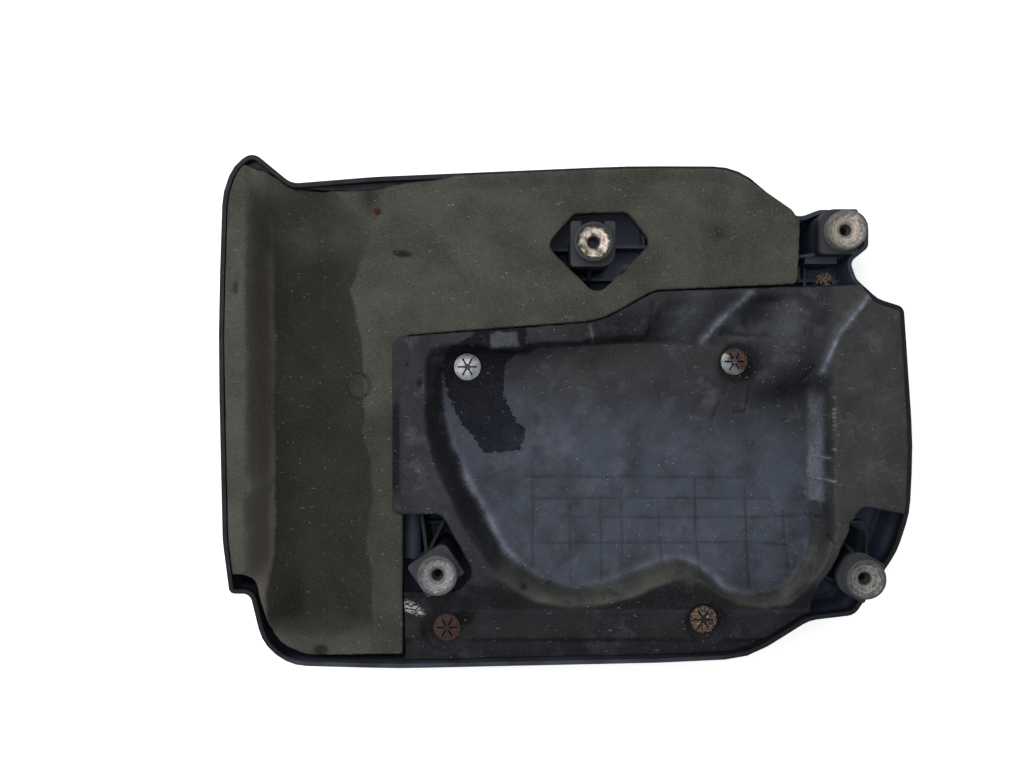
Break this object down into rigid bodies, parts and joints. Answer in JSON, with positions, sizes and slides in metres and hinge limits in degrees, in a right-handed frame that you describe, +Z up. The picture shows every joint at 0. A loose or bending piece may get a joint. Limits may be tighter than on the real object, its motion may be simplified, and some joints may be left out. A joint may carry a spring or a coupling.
{
  "type": "engine cover",
  "caption": "Moulded engine cover lying outer face down: acoustic foam mat and moulded pad held by push nuts, with rubber ball sockets on towers.",
  "frame": {"origin": "middle of the cover, on the surface that its outer face lies on", "axes": "+X along the length, to the right in the picture; +Y to the back edge, up in the picture; +Z up, out of the engine side"},
  "size_m": [0.4508, 0.3337, 0.0783],
  "materials": {
    "moulded_body": "black moulded nylon with a faint sheen",
    "open_foam": "olive grey open cell foam with lint and pinholes",
    "moulded_foam": "blue grey moulded foam skin, scuffed and dusty",
    "rubber_back_left": "dull rubber, mouth crusted cream",
    "rubber_back_right": "rubber whitened with dirt",
    "rubber_front_left": "rubber bleached grey in rings",
    "rubber_front_right": "rubber scratched grey",
    "zinc_nut": "dull zinc plated spring steel",
    "rusty_nut": "rusted spring steel",
    "rusty_small_nut": "rusted spring steel, sunk in the foam"
  },
  "bodies": {
    "root": {"cover_body": "moulded_body", "foam_mat": "open_foam", "moulded_pad": "moulded_foam", "grommet_back_left": "rubber_back_left", "grommet_back_right": "rubber_back_right", "grommet_front_left": "rubber_front_left", "grommet_front_right": "rubber_front_right", "pad_nut_back_left": "zinc_nut", "pad_nut_back_right": "rusty_nut", "pad_nut_front_left": "rusty_nut", "pad_nut_front_right": "rusty_nut", "mat_nut_back_left": "rusty_small_nut", "mat_nut_back_right": "rusty_small_nut", "mat_nut_front_left": "rusty_small_nut"}
  },
  "joints": []
}
